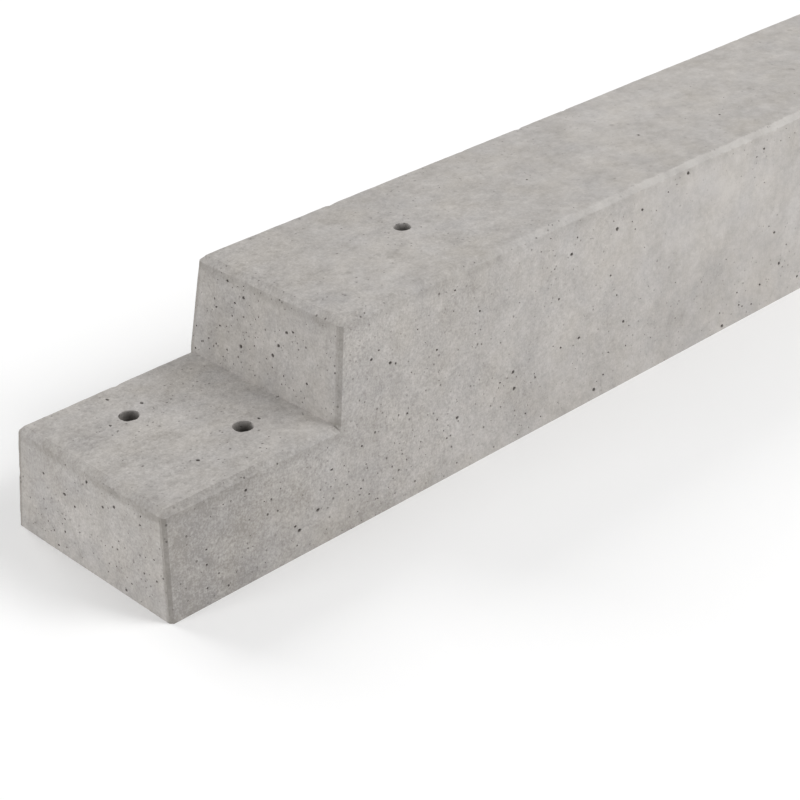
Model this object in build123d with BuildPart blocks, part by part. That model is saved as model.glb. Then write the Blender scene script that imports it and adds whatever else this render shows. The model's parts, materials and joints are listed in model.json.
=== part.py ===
from build123d import *
import os
from math import atan, cos, sqrt, tan

os.makedirs("parts", exist_ok=True)

# Precast concrete wheel stop with a lowered step at each end, cast round a light steel cage.
# Millimetres. Origin at the centre of the underside, +X along the length, +Z up.

# ---- casting ----
length = 1800.0  # at the underside
height = 150.0
base_width = 170.0
top_width = 148.0  # narrower than the base, so that the casting leaves its mould
step_height = 78.0
step_length = 152.0  # from the foot of the end face to the foot of the riser
end_lean = 6.0  # how far the end face leans in over the step's height
riser_lean = 11.5  # how far the riser leans back on its way up to the top
level_arris = 4.0  # chamfer round the top and round each step
upright_arris = 2.0  # chamfer on the upright corners

# ---- holes for the ground pins, as (distance from the end, offset across) ----
step_hole_diameter = 14.0
step_holes = [(66.0, 35.0), (109.5, -32.0)]
top_hole_diameter = 12.5
top_holes = [(292.0, 3.0)]

# ---- steel cage ----
cover = 20.0  # concrete outside the links
bar_diameter = 8.0
link_diameter = 5.0
link_bend = 10.0  # radius of the wire's centre line in a link's corners
bar_inset = 8.5  # from a link's centre line in to a bar's centre, square to each leg
link_count = 9
first_link = 192.0  # from the end of the casting, just behind the riser
step_link_places = [34.0, 88.0, 136.0]  # from the end, clear of the holes
bottom_bar_end = 26.0  # from the end of the casting to the end of the bar
top_bar_end = 178.0
hairpin_end = 30.0  # from the end of the casting to the hairpin's cross leg
hairpin_tail = 430.0
hairpin_bend = 20.0

# ---- tie wires ----
tie_wire = 1.4
tie_slack = 0.5  # between the wire and the steel that it holds
tie_roundness = 0.95  # 1 makes each end of the loop a half circle
tie_tail_diameter = 2.6  # two wires twisted together
tie_tail_length = 14.0
tie_tail_bite = 0.35  # how far the tail overlaps the loop

# ---- wheel spacers, clipped on links to hold the cage off the mould ----
spacer_width = 8.0
spacer_shortfall = 1.0  # how far the rim stops short of the casting's face
spacer_wall = 2.4
spacer_bore_gap = 0.5  # between the hub's bore and the wire
spacer_spokes = 5
spacer_mouth = 4.4  # gap in the rim and the hub that snaps over the wire
spaced_links = [0, 4, 8]
side_spacer_z = 84.0

# ---- worked out from the above ----
half_length = length / 2
draft = atan((base_width - top_width) / 2 / height)
wire_depth = cover + link_diameter / 2  # from a face in to a link's centre line
bottom_bar_z = wire_depth + bar_inset
top_bar_z = height - wire_depth - bar_inset
hairpin_z = step_height - wire_depth - bar_inset
link_pitch = (length - 2 * first_link) / (link_count - 1)
spacer_radius = wire_depth - spacer_shortfall
ends = {"left": -1, "right": 1}
sides = {"near": -1, "far": 1}


def leg_y(z):
    """Half the distance between a link's side legs, at height z."""
    return base_width / 2 - z * tan(draft) - wire_depth / cos(draft)


def bar_y(z):
    """Distance from the middle of the casting to a bar that lies inside a link's leg."""
    return leg_y(z) - bar_inset


steel_and_spacers = []


def keep(builder, name):
    """Label a finished piece and write its STEP file."""
    builder.part.label = name
    export_step(builder.part, f"parts/{name}.step")


def keep_inside(builder, name):
    """Keep a piece that the concrete is cast round."""
    keep(builder, name)
    steel_and_spacers.append(builder.part)


# ---- straight bars ----
for side, across in sides.items():
    for level, z, end in (("bottom", bottom_bar_z, bottom_bar_end), ("top", top_bar_z, top_bar_end)):
        with BuildPart() as straight_bar:
            with BuildSketch(Plane.YZ.offset(end - half_length)):
                with Locations((across * bar_y(z), z)):
                    Circle(bar_diameter / 2)
            extrude(amount=length - 2 * end)
        keep_inside(straight_bar, f"{level}_bar_{side}")

# ---- hairpin bars: one lies in each step and runs back under the full-height part ----
for end_name, along in ends.items():
    leg = bar_y(hairpin_z)
    tip = along * (half_length - hairpin_end)
    tail = along * (half_length - hairpin_tail)
    with BuildPart() as hairpin:
        with BuildLine(Plane.XY.offset(hairpin_z)) as hairpin_path:
            FilletPolyline((tail, -leg), (tip, -leg), (tip, leg), (tail, leg), radius=hairpin_bend)
        with BuildSketch(Plane(origin=hairpin_path.line @ 0, z_dir=hairpin_path.line % 0)):
            Circle(bar_diameter / 2)
        sweep()
    keep_inside(hairpin, f"hairpin_{end_name}")

# ---- where the links stand, as (name, x, height of the face above, towards the middle) ----
links = []
for n in range(link_count):
    x = first_link - half_length + n * link_pitch
    links.append((f"link_{n + 1}", x, height, -1 if x > 0 else 1))
for end_name, along in ends.items():
    for n, place in enumerate(step_link_places):
        links.append((f"step_link_{end_name}_{n + 1}", along * (half_length - place), step_height, -along))

# ---- links: closed hoops of wire that follow the casting's drafted sides ----
for name, x, roof, inward in links:
    low, high = wire_depth, roof - wire_depth
    hoop = [(-leg_y(low), low), (leg_y(low), low), (leg_y(high), high), (-leg_y(high), high)]
    with BuildPart() as link:
        with BuildLine(Plane.YZ.offset(x)) as hoop_path:
            FilletPolyline(*hoop, radius=link_bend, close=True)
        with BuildSketch(Plane(origin=hoop_path.line @ 0, z_dir=hoop_path.line % 0)):
            Circle(link_diameter / 2)
        sweep()
    keep_inside(link, name)


def crossings(x, roof):
    """Where bars cross the link at x: (bar's centre, way out to the link's wire, distance to it)."""
    corner_step = sqrt(2) * (bar_inset - link_bend) + link_bend
    found = []
    for across in sides.values():
        found.append((Vector(x, across * bar_y(bottom_bar_z), bottom_bar_z), (0, across, -1), corner_step))
        if roof == height:
            found.append((Vector(x, across * bar_y(top_bar_z), top_bar_z), (0, across, 1), corner_step))
        from_end = half_length - abs(x)
        if hairpin_end + hairpin_bend < from_end < hairpin_tail:
            hairpin_centre = Vector(x, across * bar_y(hairpin_z), hairpin_z)
            if roof == height:
                found.append((hairpin_centre, (0, across, 0), bar_inset))
            else:
                found.append((hairpin_centre, (0, across, 1), corner_step))
    return found


# ---- tie wires: a loop that crosses bar and link slantwise, with its twisted ends along the bar ----
tie_room = tie_slack + tie_wire / 2
loop_half_width = bar_diameter / sqrt(2) + tie_room + tie_slack  # a bar cut slantwise is an ellipse
for name, x, roof, inward in links:
    with BuildPart() as ties:
        for bar_centre, way_out, distance in crossings(x, roof):
            outward = Vector(*way_out).normalized()
            slant = (Vector(1, 0, 0) + outward.cross(Vector(1, 0, 0))).normalized()
            inner = -bar_diameter / 2 - tie_room
            outer = distance + link_diameter / 2 + tie_room
            loop_plane = Plane(origin=bar_centre, x_dir=slant, z_dir=slant.cross(outward))
            loop_corners = [
                (-loop_half_width, inner),
                (loop_half_width, inner),
                (loop_half_width, outer),
                (-loop_half_width, outer),
            ]
            with BuildLine(loop_plane) as loop:
                FilletPolyline(*loop_corners, radius=loop_half_width * tie_roundness, close=True)
            with BuildSketch(Plane(origin=loop.line @ 0, z_dir=loop.line % 0)):
                Circle(tie_wire / 2)
            sweep()
            tail_start = bar_centre + outward * (inner + tie_tail_bite - tie_tail_diameter / 2)
            tail_start -= Vector(inward * tie_tail_diameter, 0, 0)
            with BuildSketch(Plane(origin=tail_start, z_dir=(inward, 0, 0))):
                Circle(tie_tail_diameter / 2)
            extrude(amount=tie_tail_length)
    keep_inside(ties, name.replace("link", "ties"))

# ---- where the spacers sit, as (name, centre on the wire, wire's direction, way to the face) ----
spacer_seats = []
for n in spaced_links:
    x = links[n][1]
    for side, across in sides.items():
        up_the_leg = (0, -across * tan(draft), 1)
        side_seat = (x, across * leg_y(side_spacer_z), side_spacer_z)
        spacer_seats.append((f"spacer_{n + 1}_{side}", side_seat, up_the_leg, (0, across, 0)))
    spacer_seats.append((f"spacer_{n + 1}_top", (x, 0, height - wire_depth), (0, 1, 0), (0, 0, 1)))
for end_name, along in ends.items():
    x = along * (half_length - step_link_places[1])
    spacer_seats.append((f"spacer_step_{end_name}", (x, 0, step_height - wire_depth), (0, 1, 0), (0, 0, 1)))

# ---- wheel spacers: rim, spokes and a split hub ----
for name, centre, wire_way, face_way in spacer_seats:
    square_to_wire = Vector(*face_way) - Vector(*wire_way) * (
        Vector(*face_way).dot(Vector(*wire_way)) / Vector(*wire_way).dot(Vector(*wire_way))
    )
    seat = Plane(origin=centre, x_dir=square_to_wire, z_dir=wire_way)
    bore = link_diameter / 2 + spacer_bore_gap
    with BuildPart() as spacer:
        with BuildSketch(seat.offset(-spacer_width / 2)):
            Circle(spacer_radius)
            Circle(spacer_radius - spacer_wall, mode=Mode.SUBTRACT)
            with PolarLocations(0, spacer_spokes):
                Rectangle(spacer_radius - spacer_wall / 2, spacer_wall, align=(Align.MIN, Align.CENTER))
            Circle(bore + spacer_wall)
            Circle(bore, mode=Mode.SUBTRACT)
            Rectangle(
                2 * spacer_radius, spacer_mouth, align=(Align.MAX, Align.CENTER), mode=Mode.SUBTRACT
            )
        extrude(amount=spacer_width)
    keep_inside(spacer, name)

# ---- concrete body: side view and cross-section intersected, arrises, holes, then the cage's pockets ----
step_end = half_length - step_length
riser_top = step_end - riser_lean
elevation = [
    (-half_length, 0),
    (half_length, 0),
    (half_length - end_lean, step_height),
    (step_end, step_height),
    (riser_top, height),
    (-riser_top, height),
    (-step_end, step_height),
    (end_lean - half_length, step_height),
]
with BuildPart() as concrete_body:
    with BuildSketch(Plane.XZ):
        with BuildLine():
            Polyline(*elevation, close=True)
        make_face()
    extrude(amount=base_width, both=True)
    with BuildSketch(Plane.YZ):
        with BuildLine():
            Polyline(
                (-base_width / 2, 0),
                (base_width / 2, 0),
                (top_width / 2, height),
                (-top_width / 2, height),
                close=True,
            )
        make_face()
    extrude(amount=length, both=True, mode=Mode.INTERSECT)
    base_edges = concrete_body.edges().group_by(Axis.Z)[0]
    across_edges = concrete_body.edges().filter_by(Axis.Y)
    riser_feet = across_edges.filter_by(lambda edge: abs(abs(edge.center().X) - step_end) < level_arris)
    moulded_edges = concrete_body.edges() - base_edges - riser_feet
    level_edges = moulded_edges.filter_by(lambda edge: abs((edge @ 0).Z - (edge @ 1).Z) < upright_arris)
    chamfer(level_edges, level_arris)
    upright_edges = concrete_body.edges().filter_by(lambda edge: edge.bounding_box().size.Z > step_height / 2)
    chamfer(upright_edges, upright_arris)
    for along in ends.values():
        for holes, diameter in ((step_holes, step_hole_diameter), (top_holes, top_hole_diameter)):
            for place, across in holes:
                with Locations((along * (half_length - place), -along * across, 0)):
                    Cylinder(diameter / 2, 2 * height, mode=Mode.SUBTRACT)
    for piece in steel_and_spacers:
        add(piece, mode=Mode.SUBTRACT)
keep(concrete_body, "concrete_body")
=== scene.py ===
# Precast concrete wheel stop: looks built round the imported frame
import json
import math
import bpy
import bmesh
import numpy as np
from mathutils import Matrix, Vector
from mathutils.geometry import delaunay_2d_cdt


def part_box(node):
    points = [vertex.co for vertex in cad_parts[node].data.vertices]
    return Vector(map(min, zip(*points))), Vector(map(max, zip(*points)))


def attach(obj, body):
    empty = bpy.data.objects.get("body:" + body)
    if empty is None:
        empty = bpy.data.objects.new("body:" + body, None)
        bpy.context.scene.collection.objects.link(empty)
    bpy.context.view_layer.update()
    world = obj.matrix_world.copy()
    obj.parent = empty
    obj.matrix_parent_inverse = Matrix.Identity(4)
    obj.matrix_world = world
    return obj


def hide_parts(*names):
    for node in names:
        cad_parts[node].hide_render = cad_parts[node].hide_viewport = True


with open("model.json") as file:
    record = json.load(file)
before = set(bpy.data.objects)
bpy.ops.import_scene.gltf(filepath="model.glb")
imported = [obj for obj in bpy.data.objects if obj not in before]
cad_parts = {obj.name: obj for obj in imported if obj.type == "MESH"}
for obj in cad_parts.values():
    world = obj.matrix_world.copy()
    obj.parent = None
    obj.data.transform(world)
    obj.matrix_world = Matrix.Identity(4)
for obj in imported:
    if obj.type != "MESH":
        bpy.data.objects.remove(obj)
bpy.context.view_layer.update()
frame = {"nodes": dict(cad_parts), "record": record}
mm = 0.001
scene = bpy.context.scene
print("frame loaded:", len(frame["nodes"]), "nodes")

mounts = {m["name"]: m for m in frame["record"]["mounts"]}
lowCorner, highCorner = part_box("concrete_body")
halfLength = highCorner.x
halfBase = highCorner.y
fullHeight = highCorner.z
stepHeight = mounts["pin_hole_left_outer"]["dims"]["length_mm"] * mm


# a new mesh object that rides on the one body and stands for CAD nodes, which it hides; its finish slot is
# not used
def addPiece(name, verts, faces, slot, *stoodFor):
    mesh = bpy.data.meshes.new(name)
    mesh.from_pydata(verts, [], faces)
    piece = bpy.data.objects.new(name, mesh)
    scene.collection.objects.link(piece)
    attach(piece, "root")
    if stoodFor:
        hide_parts(*stoodFor)
    return piece


# smooth noise between about -1 and 1: sine waves in random directions with random phases, added at each
# point and divided by the square root of their number
def wander(points, wavelength, seed, waves=16):
    draw = np.random.default_rng(seed)
    ways = draw.normal(size=(waves, 3))
    ways *= 2 * math.pi / wavelength / np.linalg.norm(ways, axis=1)[:, None]
    ways *= draw.uniform(0.7, 1.4, (waves, 1))
    return np.sin(points @ ways.T + draw.uniform(0, 2 * math.pi, waves)).sum(axis=1) / math.sqrt(waves)


casting = {
    "topWidth": 148 * mm,
    "stepLength": 152 * mm,
    "endLean": 6 * mm,
    "riserLean": 11.5 * mm,
    "levelArris": 4 * mm,  # chamfer left by the fillet strips of the mould
    "uprightArris": 2 * mm,
    "arrisRows": 3,  # strips of faces across a chamfer
    "arrisPitch": 3.5 * mm,  # spacing of points along the edges
    "facePitch": 13 * mm,  # spacing of points over the faces
    "besideRows": (2.5 * mm, 6 * mm),  # rows of points that run beside the edges
    "clearOfEdge": 1.5 * mm,  # the nearest that the other points come to an edge, a pin hole or a blowhole
    "clearOfPinHole": 10 * mm,
    "clearOfBlowhole": 0.8 * mm,
    "weld": 0.004 * mm,
    "crease": math.radians(28),  # sharper bends than this are shaded as edges
    "bow": 0.12 * mm,  # how far the faces wander from flat
    "bowSize": 170 * mm,
    "ragged": 0.16 * mm,  # how far the arrises wander
    "raggedSize": 14 * mm,
    "raggedReach": 3.2 * mm,
    "flatFoot": 8 * mm,  # up to this height the wear fades, so that the underside stays flat
    "chips": 240,
    "chipCentre": 1.2 * mm,  # out from the arris
    "chipRagged": 5 * mm,
    "chipReach": (1.5 * mm, 4.5 * mm),
    "chipDepth": (0.15 * mm, 1.1 * mm),  # most chips are near the first
    "stainAndShade": 20 * mm,  # furthest that the distance from an upright arris is kept for the shader
    "seed": 41,
}
# air bubbles caught against the mould: how many on each sort of face, and their size
blowholes = {
    "side": 460,
    "end": 56,
    "riser": 62,
    "step": 14,
    "top": 60,
    "base": 90,
    "radius": (0.5 * mm, 1.75 * mm),
    "largeShare": 0.25,  # the lower, the fewer large ones
    "tries": 12,  # places tried for each one wanted
    "crowdSize": 110 * mm,
    "evenness": 1.8,  # the higher, the less they gather
    "around": 9,
    "wobble": (0.78, 1.18),
    "squash": (0.65, 1.0),
    "ringSize": (1.0, 0.84, 0.5, 0.0),  # the bowl's rings, of the radius
    "ringDepth": (0.0, 0.5, 0.95, 1.05),
    # painted shade down the bowl's rings, darkest at its floor
    "ringShade": (0, 0.8, 1, 1),
    "apart": 1.6 * mm,
    "fromEdge": 1.6 * mm,
    "fromPinHole": 12 * mm,
}
pinHoles = {
    "around": 44,
    "lip": 0.25 * mm,
    "ragged": 0.3 * mm,  # how unevenly the lip is broken
    "raggedSize": 5 * mm,
    "wander": 0.4 * mm,  # how unevenly the wall runs
    "wanderSize": 7 * mm,
    "rowDepths": (0, 0.4, 1.5, 4, 8, 14, 22),
    "easing": (1, 0.5, 0.1, 0, 0, 0, 0),
    # painted shade down a pin hole's wall, darkest deep in the hole
    "paintedShade": (0, 0.2, 0.5, 0.75, 0.95, 1, 1),
}

stepEnd = halfLength - casting["stepLength"]
riserTop = stepEnd - casting["riserLean"]
noseTop = halfLength - casting["endLean"]
draw = np.random.default_rng(casting["seed"])


def halfWidthAt(z):
    return halfBase + (casting["topWidth"] / 2 - halfBase) * z / fullHeight


# a flat polygon with each edge moved inwards by its own inset: the new corners are where moved edges meet
def insetPolygon(points, insets):
    ahead = np.roll(points, -1, axis=0) - points
    ahead /= np.linalg.norm(ahead, axis=1)[:, None]
    anchors = points + np.stack([-ahead[:, 1], ahead[:, 0]], axis=1) * np.array(insets)[:, None]
    corners = []
    for n in range(len(points)):
        reach = np.linalg.solve(np.array([ahead[n - 1], -ahead[n]]).T, anchors[n] - anchors[n - 1])
        corners.append(anchors[n - 1] + reach[0] * ahead[n - 1])
    return np.array(corners)


# a flat face from its sharp corners, counter-clockwise seen from outside, with its own flat frame
def makeFace(kind, corners, insets):
    corners = np.array(corners, float)
    steps = np.roll(corners, -1, axis=0) - corners
    along = steps[0] / np.linalg.norm(steps[0])
    normal = np.cross(corners, np.roll(corners, -1, axis=0)).sum(axis=0)
    normal /= np.linalg.norm(normal)
    face = {"kind": kind, "origin": corners[0], "along": along, "normal": normal}
    face["up"] = np.cross(normal, along)
    face["segments"] = [math.ceil(size / casting["arrisPitch"]) for size in np.linalg.norm(steps, axis=1)]
    face["corners"] = toSolid(face, insetPolygon(toFlat(face, corners), insets))
    return face


def toFlat(face, points):
    shifted = points - face["origin"]
    return np.stack([shifted @ face["along"], shifted @ face["up"]], axis=-1)


def toSolid(face, points, depth=0.0):
    flat = face["origin"] + points[..., :1] * face["along"] + points[..., 1:2] * face["up"]
    return flat - np.asarray(depth)[..., None] * face["normal"]


# evenly spaced points along one inset edge of a face, both ends included
def edgePoints(face, n):
    start, end = face["corners"][n], face["corners"][(n + 1) % len(face["corners"])]
    share = np.linspace(0, 1, face["segments"][n] + 1)[:, None]
    return start + (end - start) * share


outline = [(-halfLength, 0), (-noseTop, stepHeight), (-stepEnd, stepHeight), (-riserTop, fullHeight),
           (riserTop, fullHeight), (stepEnd, stepHeight), (noseTop, stepHeight), (halfLength, 0)]
bandKinds = ["end", "step", "riser", "top", "riser", "step", "end"]
sharp = casting["levelArris"]
cornerInset = [0, sharp, 0, sharp, sharp, 0, sharp, 0]  # 0 at the underside and at the riser's foot
bandInset = [casting["uprightArris"] if kind in ("end", "riser") else sharp for kind in bandKinds]

bands = []
for n, kind in enumerate(bandKinds):
    (xa, za), (xb, zb) = outline[n], outline[n + 1]
    ya, yb = halfWidthAt(za), halfWidthAt(zb)
    bands.append(makeFace(kind, [(xa, ya, za), (xa, -ya, za), (xb, -yb, zb), (xb, yb, zb)],
                          [cornerInset[n], bandInset[n], cornerInset[n + 1], bandInset[n]]))
sideInsets = bandInset + [0]
farSide = makeFace("side", [(x, halfWidthAt(z), z) for x, z in outline], sideInsets)
nearOutline = [outline[0]] + outline[:0:-1]
nearSide = makeFace("side", [(x, -halfWidthAt(z), z) for x, z in nearOutline], sideInsets[::-1])

# the underside's outline cuts across the feet of the upright chamfers
leftEnd, rightEnd = bands[0], bands[6]
base = makeFace("base", [(-halfLength, -halfBase, 0), (-halfLength, halfBase, 0),
                         (halfLength, halfBase, 0), (halfLength, -halfBase, 0)], [0, 0, 0, 0])
cuts, longEdge, endEdge = casting["arrisRows"], base["segments"][1], base["segments"][0]
base["corners"] = np.array([leftEnd["corners"][1], leftEnd["corners"][0], farSide["corners"][0],
                            farSide["corners"][7], rightEnd["corners"][3], rightEnd["corners"][2],
                            nearSide["corners"][1], nearSide["corners"][0]])
base["segments"] = [endEdge, cuts, longEdge, cuts, endEdge, cuts, longEdge, cuts]


def insidePolygon(points, corners):
    inside = np.zeros(len(points), bool)
    for a, b in zip(corners, np.roll(corners, -1, axis=0)):
        crosses = (a[1] > points[:, 1]) != (b[1] > points[:, 1])
        rise = b[1] - a[1] if abs(b[1] - a[1]) > 1e-12 else 1e-12
        inside ^= crosses & (points[:, 0] < (b[0] - a[0]) * (points[:, 1] - a[1]) / rise + a[0])
    return inside


def edgeDistance(points, corners):
    nearest = np.full(len(points), np.inf)
    for a, b in zip(corners, np.roll(corners, -1, axis=0)):
        share = np.clip((points - a) @ (b - a) / ((b - a) @ (b - a)), 0, 1)
        nearest = np.minimum(nearest, np.linalg.norm(points - a - share[:, None] * (b - a), axis=1))
    return nearest


holes = [m for m in frame["record"]["mounts"] if m["kind"] == "bore"]
turn = np.linspace(0, 2 * math.pi, pinHoles["around"], endpoint=False)
parts = []  # (points, triangles, painted shade deep in a blowhole or a pin hole, 0..1)


def circleRound(hole, radius, z):
    x, y = hole["pos_m"][:2]
    return np.stack([x + radius * np.cos(turn), y + radius * np.sin(turn), np.full(len(turn), z)], axis=1)


# the broken lip of a pin hole: its radius at each angle round the mouth
def mouthRadius(hole, z):
    radius = hole["dims"]["r_mm"] * mm
    broken = wander(circleRound(hole, radius, z), pinHoles["raggedSize"], 29)
    return radius + pinHoles["lip"] + pinHoles["ragged"] * np.clip(broken, 0, 1.5)


# one face as triangles: its edge points, the rims of holes and blowholes and a loose grid are joined by
# Delaunay, triangles inside a rim are dropped, and each blowhole gets a bowl of three rings and a floor
def fillFace(face):
    edge = np.concatenate([edgePoints(face, n)[:-1] for n in range(len(face["corners"]))])
    flatEdge, corners = toFlat(face, edge), toFlat(face, face["corners"])
    low, high = corners.min(axis=0), corners.max(axis=0)
    rims = []
    for hole in holes:
        top = hole["dims"]["length_mm"] * mm
        z = 0.0 if face["kind"] == "base" else top
        centre = np.array([*hole["pos_m"][:2], z])
        onFace = abs((centre - face["origin"]) @ face["normal"]) < 1e-6
        if onFace and insidePolygon(toFlat(face, centre[None]), corners)[0]:
            rims.append(toFlat(face, circleRound(hole, mouthRadius(hole, z), z)))
    holeCentres = np.array([rim.mean(axis=0) for rim in rims]).reshape(-1, 2)

    # blowholes: more small ones than large, gathered where a slow wander is high
    wanted = blowholes[face["kind"]]
    spots = draw.uniform(low, high, (wanted * blowholes["tries"], 2))
    small, large = blowholes["radius"]
    radii = small + (large - small) * draw.power(blowholes["largeShare"], len(spots))
    crowd = wander(toSolid(face, spots), blowholes["crowdSize"], 7)
    keep = insidePolygon(spots, corners) & (edgeDistance(spots, corners) > radii + blowholes["fromEdge"])
    keep &= draw.uniform(-blowholes["evenness"], blowholes["evenness"], len(spots)) < crowd
    for centre in holeCentres:
        keep &= np.linalg.norm(spots - centre, axis=1) > blowholes["fromPinHole"]
    spots, radii = spots[keep], radii[keep]
    gaps = np.linalg.norm(spots[:, None] - spots[None], axis=2) - radii[:, None] - radii[None]
    clash = np.tril(gaps < blowholes["apart"], -1).any(axis=1)
    spots, radii = spots[~clash][:wanted], radii[~clash][:wanted]
    around = blowholes["around"]
    angles = np.linspace(0, 2 * math.pi, around, endpoint=False) + draw.uniform(0, 1, (len(spots), 1))
    wobble = radii[:, None] * draw.uniform(*blowholes["wobble"], (len(spots), around))
    squash = draw.uniform(*blowholes["squash"], (len(spots), 1))
    ring = np.stack([np.cos(angles) * wobble, np.sin(angles) * wobble * squash], axis=2)
    poreRims = spots[:, None] + ring

    # loose grid over the face, and two rows that run beside its edges
    pitch = casting["facePitch"]
    gridX, gridY = np.meshgrid(np.arange(low[0], high[0], pitch), np.arange(low[1], high[1], pitch))
    grid = np.stack([gridX.ravel(), gridY.ravel()], axis=1)
    grid += draw.uniform(-0.25, 0.25, (gridX.size, 2)) * pitch
    beside = [insetPolygon(corners, [depth] * len(corners)) for depth in casting["besideRows"]]
    for loop in beside:
        for a, b in zip(loop, np.roll(loop, -1, axis=0)):
            count = max(int(np.linalg.norm(b - a) / (casting["arrisPitch"] * 1.3)), 1)
            grid = np.concatenate([grid, a + (b - a) * (np.arange(count)[:, None] + 0.5) / count])
    loose = insidePolygon(grid, corners) & (edgeDistance(grid, corners) > casting["clearOfEdge"])
    for centre in holeCentres:
        loose &= np.linalg.norm(grid - centre, axis=1) > casting["clearOfPinHole"]
    if len(spots):
        nearest = radii * 1.2 + casting["clearOfBlowhole"]
        loose &= (np.linalg.norm(grid[:, None] - spots[None], axis=2) > nearest).all(axis=1)
    grid = grid[loose]

    loops = [flatEdge] + rims + list(poreRims)
    points = np.concatenate(loops + [grid])
    owner = np.concatenate([np.full(len(loop), n) for n, loop in enumerate(loops)] + [np.full(len(grid), -1)])
    starts = np.cumsum([0] + [len(loop) for loop in loops])
    edges = [(a + n, a + (n + 1) % (b - a)) for a, b in zip(starts[:-1], starts[1:]) for n in range(b - a)]
    scaled = points / mm  # the triangulation is steadier in millimetres
    got = delaunay_2d_cdt([Vector(p) for p in scaled.tolist()], edges, [], 0, 1e-5, True)
    source = np.array([ids[0] if ids else -1 for ids in got[3]])
    triangles = source[np.array(got[2])]
    triangles = triangles[(triangles >= 0).all(axis=1)]
    own = owner[triangles]
    inRim = (own[:, 0] == own[:, 1]) & (own[:, 1] == own[:, 2]) & (own[:, 0] > 0)
    a, b, c = (points[triangles[:, n]] for n in range(3))
    area = (b - a)[:, 0] * (c - a)[:, 1] - (b - a)[:, 1] * (c - a)[:, 0]
    keep = ~inRim & insidePolygon((a + b + c) / 3, corners) & (np.abs(area) > 1e-12)
    triangles = triangles[keep]
    triangles[area[keep] < 0] = triangles[area[keep] < 0][:, ::-1]
    parts.append((toSolid(face, points), triangles, np.zeros(len(points))))

    if len(spots):
        shrink, depths, paintedShade = (np.array(blowholes[k]) for k in ("ringSize", "ringDepth", "ringShade"))
        bowl = spots[:, None, None] + ring[:, None] * shrink[None, :, None, None]
        bowl = toSolid(face, bowl, depths[None, :, None] * radii[:, None, None])
        rows = np.arange(len(spots) * 4).reshape(-1, 4)[:, :-1, None] * around + np.arange(around)
        turned = np.roll(rows, -1, axis=2)
        quads = np.stack([rows, turned, turned + around, rows + around], axis=3).reshape(-1, 4)
        shade = np.broadcast_to(paintedShade[None, :, None], bowl.shape[:3])
        parts.append((bowl.reshape(-1, 3), quads, shade.ravel()))


for face in bands + [farSide, nearSide, base]:
    fillFace(face)

# chamfers: straight rows of points from one face's inset edge to the next face's
shared = [(bands[n], 2, bands[n + 1], 0) for n in (0, 2, 3, 5)]
for n in range(7):
    shared.append((bands[n], 3, farSide, n))
    shared.append((bands[n], 1, nearSide, 7 - n))
arrisLines = []
for faceA, edgeA, faceB, edgeB in shared:
    fromA = edgePoints(faceA, edgeA)
    toB = edgePoints(faceB, edgeB)[::-1]
    rows = casting["arrisRows"]
    share = np.linspace(0, 1, rows + 1)[:, None, None]
    strip = fromA * (1 - share) + toB * share
    count = len(fromA)
    first = (np.arange(rows)[:, None] * count + np.arange(count - 1)).ravel()
    quads = np.stack([first + 1, first, first + count, first + count + 1], axis=1)
    parts.append((strip.reshape(-1, 3), quads, np.zeros(strip.shape[0] * count)))
    inward = -(faceA["normal"] + faceB["normal"])
    middle = strip.mean(axis=0)
    arrisLines.append((middle[0], middle[-1], inward / np.linalg.norm(inward)))

# walls of the pin holes: rings down from the face above to the underside, eased at both mouths
for hole in holes:
    top, radius = hole["dims"]["length_mm"] * mm, hole["dims"]["r_mm"] * mm
    depths, easing = np.array(pinHoles["rowDepths"]) * mm, np.array(pinHoles["easing"])
    heights = np.concatenate([top - depths, depths[::-1]])
    spread = [radius + (mouthRadius(hole, top) - radius) * share for share in easing]
    spread += [radius + (mouthRadius(hole, 0.0) - radius) * share for share in easing[::-1]]
    rings = np.stack([circleRound(hole, r, z) for r, z in zip(spread, heights)])
    centre = np.array([*hole["pos_m"][:2], 0])
    worn = wander(rings.reshape(-1, 3), pinHoles["wanderSize"], 23).reshape(rings.shape[:2])
    worn[[0, -1]] = 0
    rings += (rings - centre) * np.array([1, 1, 0]) / radius * (worn * pinHoles["wander"])[..., None]
    around = pinHoles["around"]
    rows = np.arange(len(heights) - 1)[:, None] * around + np.arange(around)
    turned = np.roll(rows, -1, axis=1)
    quads = np.stack([rows, rows + around, turned + around, turned], axis=2).reshape(-1, 4)
    paintedShade = np.concatenate([pinHoles["paintedShade"], pinHoles["paintedShade"][::-1]])
    parts.append((rings.reshape(-1, 3), quads, np.repeat(paintedShade, around)))

offsets = np.cumsum([0] + [len(points) for points, _, _ in parts])
allPoints = np.concatenate([points for points, _, _ in parts])
allFaces = [f for (_, faces, _), start in zip(parts, offsets) for f in (faces + start).tolist()]
allShade = np.concatenate([shade for _, _, shade in parts])
body = addPiece("cast_body", allPoints.tolist(), allFaces, "cast_concrete", "concrete_body")
# the blowhole layer carries the painted shade in blowholes and pin holes
shadeLayer = body.data.attributes.new("blowhole", "FLOAT", "POINT")
shadeLayer.data.foreach_set("value", allShade.astype(np.float32))

weld = bmesh.new()
weld.from_mesh(body.data)
bmesh.ops.remove_doubles(weld, verts=weld.verts, dist=casting["weld"])
bmesh.ops.holes_fill(weld, edges=[e for e in weld.edges if e.is_boundary], sides=0)
bmesh.ops.triangulate(weld, faces=[f for f in weld.faces if len(f.verts) > 4])
bmesh.ops.recalc_face_normals(weld, faces=weld.faces)
openEdges = sum(not e.is_manifold for e in weld.edges)
weld.to_mesh(body.data)
weld.free()

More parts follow.
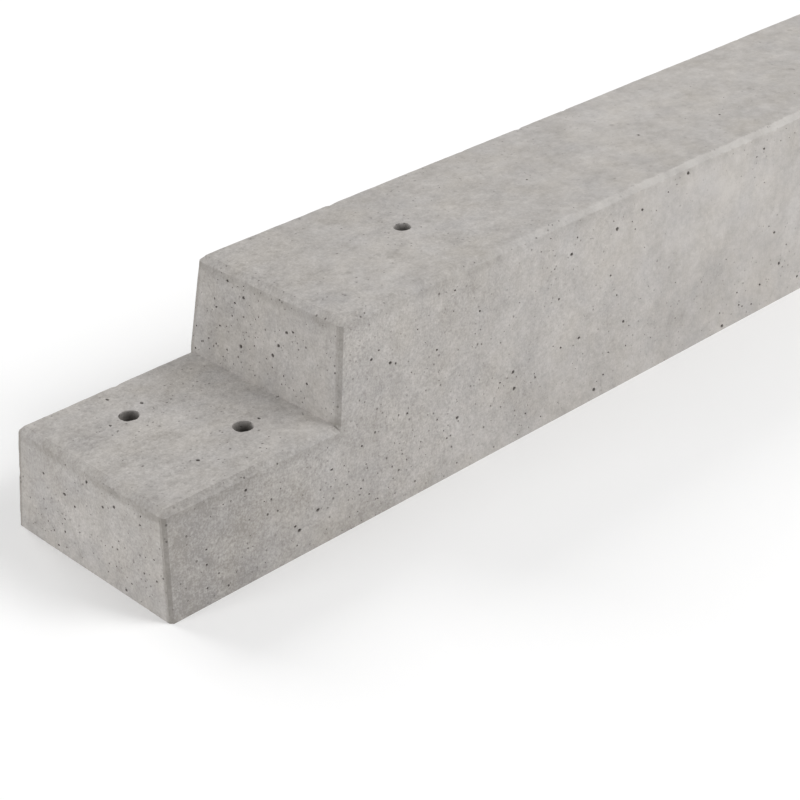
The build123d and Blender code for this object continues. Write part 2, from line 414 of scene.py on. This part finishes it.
# wear: every point near an arris moves in along the arris's own diagonal, a little everywhere and more in
# each chip, where the move falls from the chip's depth at its centre to nothing at its reach
count = len(body.data.vertices)
points = np.empty(count * 3)
body.data.vertices.foreach_get("co", points)
points = points.reshape(-1, 3)
normals = np.empty(count * 3)
body.data.vertices.foreach_get("normal", normals)
normals = normals.reshape(-1, 3)
moves = np.stack([wander(points, casting["bowSize"], seed) for seed in (3, 4, 5)], axis=1) * casting["bow"]
levelGap = np.full(count, casting["stainAndShade"])
uprightGap = np.full(count, casting["stainAndShade"])
for start, end, inward in arrisLines:
    share = np.clip((points - start) @ (end - start) / ((end - start) @ (end - start)), 0, 1)
    gap = np.linalg.norm(points - start - share[:, None] * (end - start), axis=1)
    weight = np.exp(-((gap / casting["raggedReach"]) ** 2)) * casting["ragged"]
    moves += inward * (weight * (wander(points, casting["raggedSize"], 11) + 0.6))[:, None]
    if abs((end - start)[2]) > 0.5 * np.linalg.norm(end - start):
        onSide = (np.abs(normals[:, 1]) > 0.9) & (gap > casting["uprightArris"])  # only ends and risers stain
        uprightGap = np.minimum(uprightGap, np.where(onSide, casting["stainAndShade"], gap))
    else:
        levelGap = np.minimum(levelGap, gap)
lengths = np.array([np.linalg.norm(end - start) for start, end, _ in arrisLines])
for n in draw.choice(len(arrisLines), casting["chips"], p=lengths / lengths.sum()):
    start, end, inward = arrisLines[n]
    centre = start + (end - start) * draw.uniform() - inward * casting["chipCentre"]
    size = draw.uniform() ** 3
    reach, depth = (low + (high - low) * size for low, high in (casting["chipReach"], casting["chipDepth"]))
    gap = np.linalg.norm(points - centre, axis=1) * (1 + 0.3 * wander(points, casting["chipRagged"], 17))
    moves += inward * (np.clip(1 - (gap / reach) ** 2, 0, 1) * depth)[:, None]
moves[:, 2] *= np.clip(points[:, 2] / casting["flatFoot"], 0, 1)
points += moves
body.data.vertices.foreach_set("co", points.ravel())
for name, values in (("levelGap", levelGap), ("uprightGap", uprightGap)):
    layer = body.data.attributes.new(name, "FLOAT", "POINT")
    layer.data.foreach_set("value", values.astype(np.float32))
body.data.shade_smooth()
body.data.set_sharp_from_angle(angle=casting["crease"])
body.data.update()
print("casting:", len(body.data.polygons), "faces,", openEdges, "open edges")

ribbed = {
    "core": 3.7 * mm,
    "ribHeight": 0.42 * mm,
    "ribPitch": 5.6 * mm,
    "ribWidth": 2.3 * mm,
    "ribSlope": math.radians(58),
    "seamWidth": 1.5 * mm,  # the two ribs that run along the bar
    "around": 24,
    "station": 1.35 * mm,
    "bend": 20 * mm,
}


# skin along a path: a ring of points round each place, at the radius given for that station and angle, in
# the plane of the station's up and sideways directions, with a fan of triangles to close each end
def sweptSkin(places, aheads, ups, radius):
    sides = np.cross(ups, aheads)
    around = radius.shape[1]
    angle = np.linspace(0, 2 * math.pi, around, endpoint=False)
    outward = np.cos(angle)[:, None] * sides[:, None] + np.sin(angle)[:, None] * ups[:, None]
    rings = places[:, None] + outward * radius[..., None]
    verts = np.concatenate([rings.reshape(-1, 3), places[[0, -1]]])
    rows = np.arange(len(places) - 1)[:, None] * around + np.arange(around)
    turned = np.roll(rows, -1, axis=1)
    faces = np.stack([rows, turned, turned + around, rows + around], axis=2).reshape(-1, 4).tolist()
    first, last, centre = rows[0], rows[-1] + around, len(places) * around
    faces += [[centre, b, a] for a, b in zip(first.tolist(), np.roll(first, -1).tolist())]
    faces += [[centre + 1, a, b] for a, b in zip(last.tolist(), np.roll(last, -1).tolist())]
    return verts, faces


# a ribbed bar: the radius rises from the core where the station's and the angle's distance from a slanting
# rib is under half its width, each rib fades out towards the two seams, and the seams run the whole length
def ribbedSkin(places, aheads, ups):
    angle = np.linspace(0, 2 * math.pi, ribbed["around"], endpoint=False)
    along = np.concatenate([[0], np.cumsum(np.linalg.norm(np.diff(places, axis=0), axis=1))])
    half = math.pi / 2 * ribbed["core"]
    across = ribbed["core"] * (angle % math.pi) - half
    lean = np.where(angle < math.pi, 1, -1) / math.tan(ribbed["ribSlope"])
    phase = (along[:, None] - across * lean) / ribbed["ribPitch"]
    gap = np.abs(phase - np.round(phase)) * ribbed["ribPitch"] * math.sin(ribbed["ribSlope"])
    rib = np.clip(1 - (2 * gap / ribbed["ribWidth"]) ** 2, 0, 1) * (1 - (across / half) ** 2)
    seam = np.clip(1 - (2 * (half - np.abs(across)) / ribbed["seamWidth"]) ** 2, 0, 1) * 0.7
    return sweptSkin(places, aheads, ups, ribbed["core"] + ribbed["ribHeight"] * np.maximum(rib, seam))


steelBars = []
for name in ("bottom_bar_near", "bottom_bar_far", "top_bar_near", "top_bar_far"):
    low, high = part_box(name)
    count = round((high.x - low.x) / ribbed["station"])
    places = np.empty((count, 3))
    places[:, 0] = np.linspace(low.x, high.x, count)
    places[:, 1:] = (low.y + high.y) / 2, (low.z + high.z) / 2
    aheads, ups = np.tile([1.0, 0, 0], (count, 1)), np.tile([0, 0, 1.0], (count, 1))
    steelBars.append(addPiece(f"ribbed_{name}", *ribbedSkin(places, aheads, ups), "ribbed_steel", name))

# hairpins: the heading turns steadily through each bend, and the path is the running sum of the headings
for name, way in (("hairpin_left", -1), ("hairpin_right", 1)):
    low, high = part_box(name)
    barRadius = (high.z - low.z) / 2
    leg = (high.y - low.y) / 2 - barRadius
    reach = high.x - low.x - barRadius
    bend, quarter = ribbed["bend"], ribbed["bend"] * math.pi / 2
    breaks = np.cumsum([0, reach - bend, quarter, 2 * (leg - bend), quarter, reach - bend])
    run = np.linspace(0, breaks[-1], round(breaks[-1] / ribbed["station"]))
    middle = (run[1:] + run[:-1]) / 2
    turnBy = np.array([0, 0, 0.5, 0.5, 1, 1]) * math.pi

    def heading(at):
        return np.interp(at, breaks, turnBy)

    aheads = np.stack([np.cos(heading(run)) * way, np.sin(heading(run)), np.zeros(len(run))], axis=1)
    steps = np.stack([np.cos(heading(middle)) * way, np.sin(heading(middle))], axis=1) * (run[1] - run[0])
    places = np.zeros((len(run), 3))
    places[1:, :2] = np.cumsum(steps, axis=0)
    places += (high.x if way < 0 else low.x, -leg, (low.z + high.z) / 2)
    ups = np.tile([0, 0, 1.0], (len(run), 1))
    verts, faces = ribbedSkin(places, aheads, ups)
    steelBars.append(addPiece(f"ribbed_{name}", verts, faces, "ribbed_steel", name))
for bar in steelBars:
    bar.data.shade_smooth()
    bar.data.set_sharp_from_angle(angle=math.radians(60))
print("bars:", sum(len(bar.data.polygons) for bar in steelBars), "faces")

# tie wires at the crossings of bars and links
tying = {
    "wire": 1.4 * mm,
    "slack": 0.5 * mm,
    "loopPoints": 45,
    "loopAround": 8,
    "bendShare": 0.95,  # 1 makes each end of the loop a half circle
    "strand": 1.25 * mm,  # either wire of the twisted tail
    "tail": 14 * mm,
    "twistPitch": 5.2 * mm,
    "tailPoints": 26,
    "tailAround": 6,
    "tailTuck": 0.35 * mm,  # how far the tail's strands run into the loop
    "barRadius": 4 * mm,
    "linkWire": 5 * mm,
    "linkBend": 10 * mm,
    "barInset": 8.5 * mm,  # from a link's centre line in to a bar's centre
    "hairpinReach": (0.05, 0.43),  # from the casting's end
}


def boxCentre(name):
    low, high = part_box(name)
    return np.array((low + high) / 2)


# where bars cross the link at x: each bar's centre, the way out to the link, and how far out the link is
def crossings(x, isFull):
    inset, bendOf = tying["barInset"], tying["linkBend"]
    toCorner = math.sqrt(2) * (inset - bendOf) + bendOf
    found = []
    for side, across in (("near", -1), ("far", 1)):
        found.append((boxCentre(f"bottom_bar_{side}"), (0, across, -1), toCorner))
        if isFull:
            found.append((boxCentre(f"top_bar_{side}"), (0, across, 1), toCorner))
        nearest, furthest = tying["hairpinReach"]
        if nearest < halfLength - abs(x) < furthest:
            low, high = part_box("hairpin_left")
            thick = (high.z - low.z) / 2
            centre = np.array([x, across * (high.y - thick), (low.z + high.z) / 2])
            found.append((centre, (0, across, 0 if isFull else 1), inset if isFull else toCorner))
    return found


# one tie: a wire loop in the plane of the slanting way and the way out, its heading turning steadily in the
# corners and its path the running sum of the headings, then two strands wound round each other along the bar
def tieSkin(x, inward, centre, wayOut, distance):
    centre = np.array([x, centre[1], centre[2]])
    outward = np.array(wayOut, float) / np.linalg.norm(wayOut)
    slant = np.array([1.0, 0, 0]) + np.cross(outward, [1, 0, 0])
    slant /= np.linalg.norm(slant)
    level = np.cross(slant, outward)
    room = tying["slack"] + tying["wire"] / 2
    wide = 2 * tying["barRadius"] / math.sqrt(2) + room + tying["slack"]
    inner, outer = -tying["barRadius"] - room, distance + tying["linkWire"] / 2 + room
    bend = wide * tying["bendShare"]
    flat, tall, quarter = wide - bend, (outer - inner) - 2 * bend, bend * math.pi / 2
    breaks = np.cumsum([0, flat, quarter, tall, quarter, 2 * flat, quarter, tall, quarter, flat])
    turns = np.array([0, 0, 1, 1, 2, 2, 3, 3, 4, 4]) * math.pi / 2
    run = np.linspace(0, breaks[-1], tying["loopPoints"])
    fineRun = np.linspace(0, breaks[-1], 10 * (tying["loopPoints"] - 1) + 1)
    headings = np.interp((fineRun[1:] + fineRun[:-1]) / 2, breaks, turns)
    stride = fineRun[1]
    flatPath = np.cumsum(np.stack([np.cos(headings), np.sin(headings)], axis=1) * stride, axis=0)
    flatPath = np.concatenate([[[0, 0]], flatPath])[::10] + (0, inner)
    places = centre + flatPath[:, :1] * slant + flatPath[:, 1:] * outward
    at = np.interp(run, breaks, turns)[:, None]
    aheads = np.cos(at) * slant + np.sin(at) * outward
    pieces = [sweptSkin(places, aheads, np.tile(level, (len(run), 1)),
                        np.full((len(run), tying["loopAround"]), tying["wire"] / 2))]

    length = np.linspace(0, 1, tying["tailPoints"]) * tying["tail"]
    way = np.array([inward, 0, 0])
    side = np.cross(way, outward)
    start = centre + outward * (inner + tying["tailTuck"] - tying["strand"]) - way * 2 * tying["strand"]
    radius = tying["strand"] / 2
    for phase in (0, math.pi):
        angle = (2 * math.pi * length / tying["twistPitch"] + phase)[:, None]
        out = np.cos(angle) * outward + np.sin(angle) * side
        spin = (np.cos(angle) * side - np.sin(angle) * outward) * 2 * math.pi * radius / tying["twistPitch"]
        heads = (spin + way) / np.linalg.norm(spin + way, axis=1)[:, None]
        strand = start + length[:, None] * way + out * radius
        pieces.append(sweptSkin(strand, heads, out, np.full((len(length), tying["tailAround"]), radius)))
    return pieces


tyings = []
for name in [n for n in frame["nodes"] if "link" in n]:
    x = boxCentre(name)[0]
    isFull = name.startswith("link")
    inward = 1 if x < 1 * mm else -1
    skins = [skin for crossing in crossings(x, isFull) for skin in tieSkin(x, inward, *crossing)]
    starts = np.cumsum([0] + [len(verts) for verts, _ in skins])
    verts = np.concatenate([verts for verts, _ in skins]).tolist()
    faces = [[n + start for n in face] for (_, skin), start in zip(skins, starts.tolist()) for face in skin]
    tie = name.replace("link", "ties")
    tyings.append(addPiece(f"twisted_{tie}", verts, faces, "annealed_wire", tie))
    tyings[-1].data.shade_smooth()
    tyings[-1].data.set_sharp_from_angle(angle=math.radians(50))
print("ties:", sum(len(t.data.polygons) for t in tyings), "faces")


# an sRGB hex colour as linear red, green, blue, alpha
def colour(hexValue):
    parts = [int(hexValue[n:n + 2], 16) / 255 for n in (1, 3, 5)]
    return [p / 12.92 if p <= 0.04045 else ((p + 0.055) / 1.055) ** 2.4 for p in parts] + [1]


# adds a node: keywords are its settings, and values fill its inputs, by name from a dictionary or in order
# from a list; an output given as a value is linked. Values left over go into one more node of the kind, after
# the first one's result. What comes back is the node's first output.
def add(tree, kind, values=(), **settings):
    made = tree.nodes.new("ShaderNode" + kind)
    for name, value in settings.items():
        setattr(made, name, value)
    if isinstance(values, dict):
        pairs, left = [(made.inputs[name], value) for name, value in values.items()], []
    else:
        pairs = list(zip([socket for socket in made.inputs if socket.enabled], values))
        left = list(values[len(pairs):])
    for socket, value in pairs:
        if isinstance(value, bpy.types.NodeSocket):
            tree.links.new(value, socket)
        else:
            socket.default_value = value
    result = next((socket for socket in made.outputs if socket.enabled), None)
    return add(tree, kind, [result] + left, **settings) if left else result


def newTree(name):
    material = bpy.data.materials.new(name)
    material.use_nodes = True
    material.node_tree.nodes.clear()
    return material, material.node_tree


# noise with features about size metres across, moved from its middle values into low..high
def cloud(tree, where, size, low, high, detail=3.0, roughness=0.55):
    noise = add(tree, "TexNoise", {"Vector": where, "Scale": 1 / size, "Detail": detail,
                                   "Roughness": roughness})
    return add(tree, "MapRange", [noise, 0.28, 0.72, low, high])


# a spot in some cells of a Voronoi pattern, 1 at its middle and 0 outside
def specks(tree, where, cell, largest, share):
    distance = add(tree, "TexVoronoi", {"Vector": where, "Scale": 1 / cell, "Randomness": 1.0})
    pick = add(tree, "SeparateColor", [distance.node.outputs["Color"]])
    radius = add(tree, "MapRange", [pick, 1 - share, 1, 0.4, 1])
    radius = add(tree, "Math", [radius, largest / cell], operation="MULTIPLY")
    outward = add(tree, "Math", [distance, radius], operation="DIVIDE")
    depth = add(tree, "Math", [1.0, outward], operation="SUBTRACT")
    spot = add(tree, "MapRange", [depth, 0, 0.45, 0, 1], interpolation_type="SMOOTHSTEP")
    picked = add(tree, "Math", [1 - share, pick], operation="LESS_THAN")
    return add(tree, "Math", [spot, picked], operation="MULTIPLY")


concreteLook = {
    "paste": "#C2BEBA",  # dry cement paste with light sand
    "deep": "#8E8A86",
    "hollowShade": "#55514C",  # painted shade inside a blowhole or a pin hole
    "warm": "#BBB3A6",
    "cool": "#AFAFB3",
    "rust": "#7C5E40",
    # painted shade in tiny pores
    "poreShade": "#5A5651",
    "worn": "#CBC8C4",  # arrises, where the paste is rubbed
    "stainAndShade": "#7F7B75",  # bleed line beside an upright arris; also the painted shade under the level arrises and in shallow dents on top
    "roughness": 0.86,
    "layers": {  # size, octaves and their roughness
        "broad": (320 * mm, 2, 0.55),
        "mottle": (85 * mm, 4, 0.6),
        "blotch": (24 * mm, 5, 0.65),
        "fleck": (8.5 * mm, 4, 0.7),
        "sand": (3.4 * mm, 3, 0.7),
        "grain": (1.6 * mm, 2, 0.7),  # sand grain, drawn twice as coarse as it is, or it would not show
    },
    "startTone": 0.37,  # share of the way from paste to deep before the layers
    "tone": {  # what each layer adds to it: on an upright face, on a level one
        "broad": (0.12, 0.12),
        "mottle": (0.36, 0.15),
        "blotch": (0.35, 0.42),
        "fleck": (0.35, 0.42),
        "sand": (0.32, 0.32),
        "grain": (0.46, 0.24),
        "towardsEnd": (0.12, 0.12),
        "lastPart": (0.34, 0.34),
        "endChamfer": (0.12, 0.12),
        # painted light on the upright faces and painted shade on the level ones, in mid-length
        "inMiddle": (-0.07, 0.07),
    },
    "relief": {"grain": 0.06, "sand": 0.13, "fleck": 0.14, "pits": -0.8},
    "reliefDepth": 0.9 * mm,
    "tingeSize": 33 * mm,
    "tinge": 0.16,
    "specks": {  # size of a cell, the largest radius, share of the cells
        "pepper": (4.6 * mm, 1.08 * mm, 0.6),
        "pinholes": (17 * mm, 1.5 * mm, 0.5),
        # smears on top: painted shade of shallow dents
        "dentShade": (19 * mm, 3.4 * mm, 0.6),
        "rust": (46 * mm, 1.4 * mm, 0.35),
    },
    "crowdSize": 70 * mm,  # of the places with more pepper
    "stainWidth": 4.2 * mm,
    "wornWidth": 3.4 * mm,
    "lipWidth": 9 * mm,
}
# Site concrete left in a steel mould: cloudy grey paste with sand grain just under it, pepper of tiny pores
# with painted shade in them, rubbed pale arrises, and painted shade under the level arrises and in the
# hollows.
# The eye reads a dry, hard, slightly dusty surface.
concrete, tree = newTree("precast concrete, mould face")
look = concreteLook
place = add(tree, "TexCoord").node.outputs["Object"]
layers = {name: cloud(tree, place, size, -0.5, 0.5, detail, roughness)
          for name, (size, detail, roughness) in look["layers"].items()}

# which way the surface faces, and how near it is to an end of the casting
facing = add(tree, "SeparateXYZ", [add(tree, "NewGeometry").node.outputs["Normal"]]).node.outputs
onTop = add(tree, "MapRange", [facing["Z"], 0.6, 0.95, 0, 1])
onEnd = add(tree, "Math", [facing["X"]], operation="ABSOLUTE")
onSide = add(tree, "Math", [facing["Y"]], operation="ABSOLUTE")
fullyEnd = add(tree, "MapRange", [onEnd, 0.5, 0.9, 0, 1])
leaning = [add(tree, "MapRange", [onEnd, 0.5, 0.6, 0, 1]), add(tree, "MapRange", [onEnd, 0.8, 0.9, 1, 0])]
layers["endChamfer"] = add(tree, "Math", leaning, operation="MULTIPLY")
fromMiddle = add(tree, "Math", [add(tree, "SeparateXYZ", [place])], operation="ABSOLUTE")
towardsEnd = add(tree, "MapRange", [fromMiddle, 0.3, halfLength, 0, 1], interpolation_type="SMOOTHSTEP")
layers["towardsEnd"] = towardsEnd
# mid-length: where the tone paints light on the uprights and shade on the top
layers["inMiddle"] = add(tree, "Math", [1.0, towardsEnd], operation="SUBTRACT")
nearCorner = add(tree, "MapRange", [fromMiddle, 0.76, 0.86, 0, 1], interpolation_type="SMOOTHSTEP")
layers["lastPart"] = add(tree, "Math", [nearCorner, onSide, cloud(tree, place, 50 * mm, 0.6, 1.2)],
                         operation="MULTIPLY")

# the sand shows more towards the ends, and less on the end faces than on the sides
sandy = add(tree, "Math", [add(tree, "MapRange", [towardsEnd, 0, 1, 0.5, 1.6]),
                           cloud(tree, place, 100 * mm, 0.75, 1.25),
                           add(tree, "MapRange", [fullyEnd, 0, 1, 1, 0.64])], operation="MULTIPLY")
for name in ("sand", "grain"):
    layers[name] = add(tree, "Math", [layers[name], sandy], operation="MULTIPLY")

tone = look["startTone"]
for name, (upright, level) in look["tone"].items():
    weight = add(tree, "MapRange", [onTop, 0, 1, upright, level])
    tone = add(tree, "Math", [layers[name], weight, tone], operation="MULTIPLY_ADD")
tone = add(tree, "Clamp", [tone, 0, 1])
paint = add(tree, "Mix", [tone, colour(look["paste"]), colour(look["deep"])], data_type="RGBA")
tinge = cloud(tree, place, look["tingeSize"], 0, 1)
tinge = add(tree, "Mix", [tinge, colour(look["warm"]), colour(look["cool"])], data_type="RGBA")
paint = add(tree, "Mix", [look["tinge"], paint, tinge], data_type="RGBA")

spots = {name: specks(tree, place, *sizes) for name, sizes in look["specks"].items()}
crowding = add(tree, "TexNoise", {"Vector": place, "Scale": 1 / look["crowdSize"], "Detail": 2.0})
crowding = add(tree, "MapRange", [crowding, 0.42, 0.62, 0.4, 1], interpolation_type="SMOOTHSTEP")
pepper = add(tree, "Math", [spots["pepper"], crowding], operation="MULTIPLY")
# pepper and pinhole specks: painted shade in tiny pores, also pressed in as dents by the relief
pits = add(tree, "Math", [pepper, spots["pinholes"]], operation="MAXIMUM")
pits = add(tree, "Math", [pits, add(tree, "MapRange", [onTop, 0, 1, 1, 0.7]),
                          add(tree, "MapRange", [towardsEnd, 0, 1, 0.45, 1.1])], operation="MULTIPLY")
layers["pits"] = pits
# dark smears on the top faces only, painted shade of shallow dents
dentShade = add(tree, "Math", [spots["dentShade"], onTop], operation="MULTIPLY")
# painted shade in blowholes and pin holes, read from the points
hollowShade = add(tree, "Attribute", attribute_name="blowhole").node.outputs["Fac"]


# 1 near an arris and 0 beyond width, with an edge that wanders and patches where it is missing
def besideArris(layer, width, patch, least):
    gap = add(tree, "Attribute", attribute_name=layer).node.outputs["Fac"]
    ragged = add(tree, "Math", [layers["fleck"], width * 0.5, gap], operation="MULTIPLY_ADD")
    near = add(tree, "MapRange", [ragged, width * 0.65, width * 1.1, 1, 0],
               interpolation_type="SMOOTHSTEP")
    return add(tree, "Math", [near, cloud(tree, place, patch, least, 1.0, detail=4)], operation="MULTIPLY")


# arrises are rubbed pale in mid-length, and painted shade runs as a darker lip just under the level ones near
# the ends
rubbed = add(tree, "Math", [besideArris("levelGap", look["wornWidth"], 30 * mm, 0.2),
                            add(tree, "MapRange", [towardsEnd, 0, 0.6, 0.75, 0.05])], operation="MULTIPLY")
levelReach = add(tree, "Attribute", attribute_name="levelGap").node.outputs["Fac"]
# the lip: painted shade under the level arrises, strongest on the end faces
lip = add(tree, "Math", [besideArris("levelGap", look["lipWidth"], 20 * mm, 0.1),
                         add(tree, "MapRange", [levelReach, 2.4 * mm, 3.2 * mm, 0, 1]),
                         add(tree, "MapRange", [onTop, 0, 1, 0.34, 0.05]),
                         add(tree, "MapRange", [towardsEnd, 0, 1, 0.4, 1]),
                         add(tree, "MapRange", [fullyEnd, 0, 1, 1, 1.9])], operation="MULTIPLY")
bleed = add(tree, "Math", [besideArris("uprightGap", look["stainWidth"], 50 * mm, 0.7),
                           add(tree, "MapRange", [fromMiddle, 0.8, 0.88, 0.42, 0.66]),
                           add(tree, "MapRange", [onTop, 0, 1, 1, 0])], operation="MULTIPLY")
# the lip under the level arrises, the smears on top, the pits and the hollows are painted shade; the rubbed
# arrises, the bleed line and the rust are the concrete's own
covers = [(rubbed, 1, "worn"), (lip, 1, "stainAndShade"), (bleed, 1, "stainAndShade"), (dentShade, 0.3, "stainAndShade"),
          (spots["rust"], 0.6, "rust"), (pits, 0.8, "poreShade"), (hollowShade, 0.8, "hollowShade")]
for cover, strength, tint in covers:
    share = add(tree, "Math", [cover, strength], operation="MULTIPLY")
    paint = add(tree, "Mix", [share, paint, colour(look[tint])], data_type="RGBA")

height = 0.0
for name, rise in look["relief"].items():
    height = add(tree, "Math", [layers[name], rise, height], operation="MULTIPLY_ADD")
shader = add(tree, "BsdfPrincipled", {
    "Base Color": paint, "Specular IOR Level": 0.3,
    "Roughness": add(tree, "Math", [layers["blotch"], 0.08, look["roughness"]], operation="MULTIPLY_ADD"),
    "Normal": add(tree, "Bump", {"Height": height, "Distance": look["reliefDepth"], "Strength": 0.9})})
add(tree, "OutputMaterial", {"Surface": shader})
body.data.materials.append(concrete)

barLook = {
    "scale": "#3B3F45",
    "bare": "#6B6C6E",
    "rust": "#7A4526",
    "dark": "#4A2C1C",
    "patchSize": 35 * mm,
    "fineSize": 3 * mm,
    "reliefDepth": 0.15 * mm,
}
# Hot-rolled ribbed bar from the stockyard: blue-grey mill scale, lighter in fine patches, with rust
# bloom starting in patches. Reads as plain structural steel.
barSteel, tree = newTree("hot-rolled ribbed bar with light rust")
look = barLook
place = add(tree, "TexCoord").node.outputs["Object"]
patches = cloud(tree, place, look["patchSize"], 0, 1, detail=5, roughness=0.7)
fine = cloud(tree, place, look["fineSize"], 0, 1, detail=4, roughness=0.7)
rustShare = add(tree, "Math", [fine, 0.5, patches], operation="MULTIPLY_ADD")
rustShare = add(tree, "MapRange", [rustShare, 0.7, 1.1, 0, 1], interpolation_type="SMOOTHSTEP")
scaleColour = add(tree, "Mix", [fine, colour(look["scale"]), colour(look["bare"])], data_type="RGBA")
rustColour = add(tree, "Mix", [fine, colour(look["dark"]), colour(look["rust"])], data_type="RGBA")
shader = add(tree, "BsdfPrincipled", {
    "Base Color": add(tree, "Mix", [rustShare, scaleColour, rustColour], data_type="RGBA"),
    "Metallic": add(tree, "MapRange", [rustShare, 0, 1, 0.8, 0]),
    "Roughness": add(tree, "MapRange", [rustShare, 0, 1, 0.45, 0.9]),
    "Normal": add(tree, "Bump", {"Height": fine, "Distance": look["reliefDepth"], "Strength": 0.6})})
add(tree, "OutputMaterial", {"Surface": shader})
for bar in steelBars:
    bar.data.materials.append(barSteel)


# a wire finish: metal with fine die lines and a thin bloom of rust
def wireMaterial(name, bright, dull, bloom, roughness, bloomShare):
    material, tree = newTree(name)
    place = add(tree, "TexCoord").node.outputs["Object"]
    lines = cloud(tree, place, 1.2 * mm, 0, 1, detail=3, roughness=0.6)
    patches = cloud(tree, place, 20 * mm, 0, 1, detail=5, roughness=0.7)
    rust = add(tree, "MapRange", [patches, 1 - bloomShare, 1, 0, 0.8], interpolation_type="SMOOTHSTEP")
    metal = add(tree, "Mix", [lines, colour(bright), colour(dull)], data_type="RGBA")
    shader = add(tree, "BsdfPrincipled", {
        "Base Color": add(tree, "Mix", [rust, metal, colour(bloom)], data_type="RGBA"),
        "Metallic": add(tree, "MapRange", [rust, 0, 0.8, 0.9, 0.1]),
        "Roughness": add(tree, "MapRange", [rust, 0, 0.8, roughness, 0.85]),
        "Normal": add(tree, "Bump", {"Height": lines, "Distance": 0.06 * mm, "Strength": 0.5})})
    add(tree, "OutputMaterial", {"Surface": shader})
    return material


# Cold-drawn wire for the links: brighter and smoother than the bars, a little rust bloom.
linkWire = wireMaterial("cold-drawn link wire", "#8C8D8E", "#6F7173", "#80563A", 0.35, 0.35)
# Soft annealed tying wire: near black, matt, with a brown tinge.
tieWire = wireMaterial("black annealed tying wire", "#3A3836", "#2B2928", "#55402F", 0.55, 0.4)
for tie in tyings:
    tie.data.materials.append(tieWire)

spacerLook = {
    "plastic": "#6D7072",
    "pale": "#7F8284",
    "roughness": (0.44, 0.58),
    "flowSize": 11 * mm,
    "textureSize": 0.7 * mm,
    "reliefDepth": 0.03 * mm,
}
# Moulded recycled polypropylene: even mid grey with faint flow marks and a slight sheen.
spacerPlastic, tree = newTree("moulded grey polypropylene")
look = spacerLook
place = add(tree, "TexCoord").node.outputs["Object"]
flow = cloud(tree, place, look["flowSize"], 0, 1, detail=4, roughness=0.6)
texture = cloud(tree, place, look["textureSize"], 0, 1, detail=2)
shader = add(tree, "BsdfPrincipled", {
    "Base Color": add(tree, "Mix", [flow, colour(look["plastic"]), colour(look["pale"])], data_type="RGBA"),
    "Roughness": add(tree, "MapRange", [flow, 0, 1, *look["roughness"]]),
    "Normal": add(tree, "Bump", {"Height": texture, "Distance": look["reliefDepth"], "Strength": 0.5})})
add(tree, "OutputMaterial", {"Surface": shader})

finishes = {"link": linkWire, "step_link": linkWire, "spacer": spacerPlastic}
for name, piece in frame["nodes"].items():
    for start, material in finishes.items():
        if name.startswith(start):
            piece.data.materials.clear()
            piece.data.materials.append(material)
print("materials:", len(bpy.data.materials))


studio = {
    "floorSize": 30.0,
    "floor": "#FCFCFC",
    "floorDull": "#E8E8E6",
    "world": 0.4,
    "lights": [  # name, position, side of the square, watts, what it looks at
        ("over the near side", (0.9, -2.4, 2.4), 1.4, 56.0, (-0.1, 0, 0)),
        ("high on the right", (1.6, -1.6, 2.6), 1.0, 17.0, (-0.3, 0, 0)),
        ("along the near side", (1.2, -2.4, 1.0), 1.4, 4.0, (0, 0, 0)),
        ("over the far side", (-0.8, 3.0, 2.2), 2.0, 55.0, (-0.3, 0, 0)),
        ("low at the left end", (-4.2, 0.46, 1.22), 1.9, 53.5, (-0.8, 0, 0)),
    ],
    "cameraFromEnd": (-0.5943, -0.9529, 0.7456),  # from the foot of the left end, in metres
    "yaw": 0.827978,  # radians, from +X towards +Y
    "pitch": 0.514163,  # below the horizon
    "roll": -0.035992,
    "lens": 90.72,
}
half = studio["floorSize"] / 2
floorMesh = bpy.data.meshes.new("floor")
floorCorners = [(-half, -half, 0), (half, -half, 0), (half, half, 0), (-half, half, 0)]
floorMesh.from_pydata(floorCorners, [], [(0, 1, 2, 3)])
floor = bpy.data.objects.new("floor", floorMesh)
scene.collection.objects.link(floor)
paper, tree = newTree("matt white studio paper")
place = add(tree, "TexCoord").node.outputs["Object"]
shade = cloud(tree, place, 0.8, 0.0, 0.06, detail=2)
shader = add(tree, "BsdfPrincipled", {
    "Base Color": add(tree, "Mix", [shade, colour(studio["floor"]), colour(studio["floorDull"])],
                      data_type="RGBA"),
    "Roughness": 0.95, "Specular IOR Level": 0.1})
add(tree, "OutputMaterial", {"Surface": shader})
floorMesh.materials.append(paper)

world = bpy.data.worlds.new("studio")
scene.world = world
world.use_nodes = True
background = world.node_tree.nodes["Background"]
background.inputs["Color"].default_value = colour("#FFFFFF")
background.inputs["Strength"].default_value = studio["world"]


# a soft square light
def softLight(name, position, size, power, target):
    lamp = bpy.data.lights.new(name, "AREA")
    lamp.shape = "SQUARE"
    lamp.size = size
    lamp.energy = power
    holder = bpy.data.objects.new(name, lamp)
    aim = (target - position).to_track_quat("-Z", "Y").to_matrix().to_4x4()
    holder.matrix_world = Matrix.Translation(position) @ aim
    scene.collection.objects.link(holder)


for name, position, size, power, target in studio["lights"]:
    softLight(name, Vector(position), size, power, Vector(target))

yaw, pitch, roll = studio["yaw"], studio["pitch"], studio["roll"]
forward = Vector((math.cos(pitch) * math.cos(yaw), math.cos(pitch) * math.sin(yaw), -math.sin(pitch)))
level = forward.cross(Vector((0, 0, 1))).normalized()
upright = level.cross(forward)
right = level * math.cos(roll) + upright * math.sin(roll)
above = upright * math.cos(roll) - level * math.sin(roll)
lens = bpy.data.cameras.new("camera")
lens.lens = studio["lens"]
lens.sensor_width = 36
camera = bpy.data.objects.new("camera", lens)
turned = Matrix((right, above, -forward)).transposed().to_4x4()
station = Vector(studio["cameraFromEnd"]) - Vector((halfLength, 0, 0))
camera.matrix_world = Matrix.Translation(station) @ turned
scene.collection.objects.link(camera)
scene.camera = camera
scene.view_settings.view_transform = "Standard"
